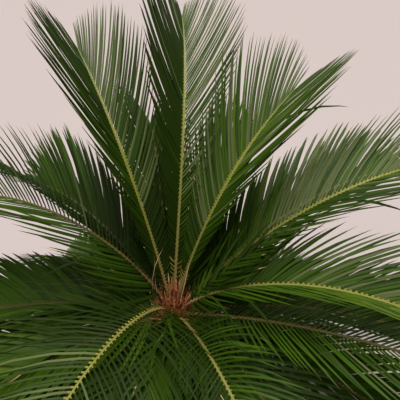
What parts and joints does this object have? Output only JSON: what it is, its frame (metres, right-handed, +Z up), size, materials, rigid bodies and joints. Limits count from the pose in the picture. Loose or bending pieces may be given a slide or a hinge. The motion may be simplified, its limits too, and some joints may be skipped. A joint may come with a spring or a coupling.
{
  "type": "sago palm in a plain round pot",
  "caption": "Stiff feather fronds arch from a short scaly trunk in a plain tapered round pot of soil.",
  "frame": {"origin": "centre of the pot's flat underside, on the surface that it stands on", "axes": "+Z up along the pot and the trunk; the picture looks along +Y and down, with +X to its right"},
  "size_m": [1.452, 1.364, 1.0077],
  "materials": {
    "pot": "matte fired clay",
    "soil": "loose potting soil",
    "trunk": "rough bark of old leaf bases",
    "crown": "woolly brown scales",
    "frond": "glossy green leaf"
  },
  "bodies": {
    "root": {"crown": "crown", "frond_ring_01": "frond", "frond_ring_02": "frond", "frond_ring_03": "frond", "frond_ring_04": "frond", "frond_ring_05": "frond", "frond_ring_06": "frond", "frond_ring_07": "frond", "frond_ring_08": "frond", "frond_ring_09": "frond", "frond_ring_10": "frond", "frond_ring_11": "frond", "frond_ring_12": "frond", "frond_upper_01": "frond", "frond_upper_02": "frond", "frond_upper_03": "frond", "frond_upper_04": "frond", "frond_upper_05_far": "frond", "frond_upper_05_near": "frond", "frond_upper_06": "frond", "frond_upper_07_far": "frond", "frond_upper_07_near": "frond", "frond_upper_08_far": "frond", "frond_upper_08_near": "frond", "frond_upper_09_far": "frond", "frond_upper_09_near": "frond", "frond_upper_10": "frond", "frond_upper_11": "frond", "frond_upper_12": "frond", "frond_upper_13": "frond", "frond_upper_14": "frond", "frond_upper_15": "frond", "frond_upper_16": "frond", "pot": "pot", "soil": "soil", "trunk": "trunk"}
  },
  "joints": []
}
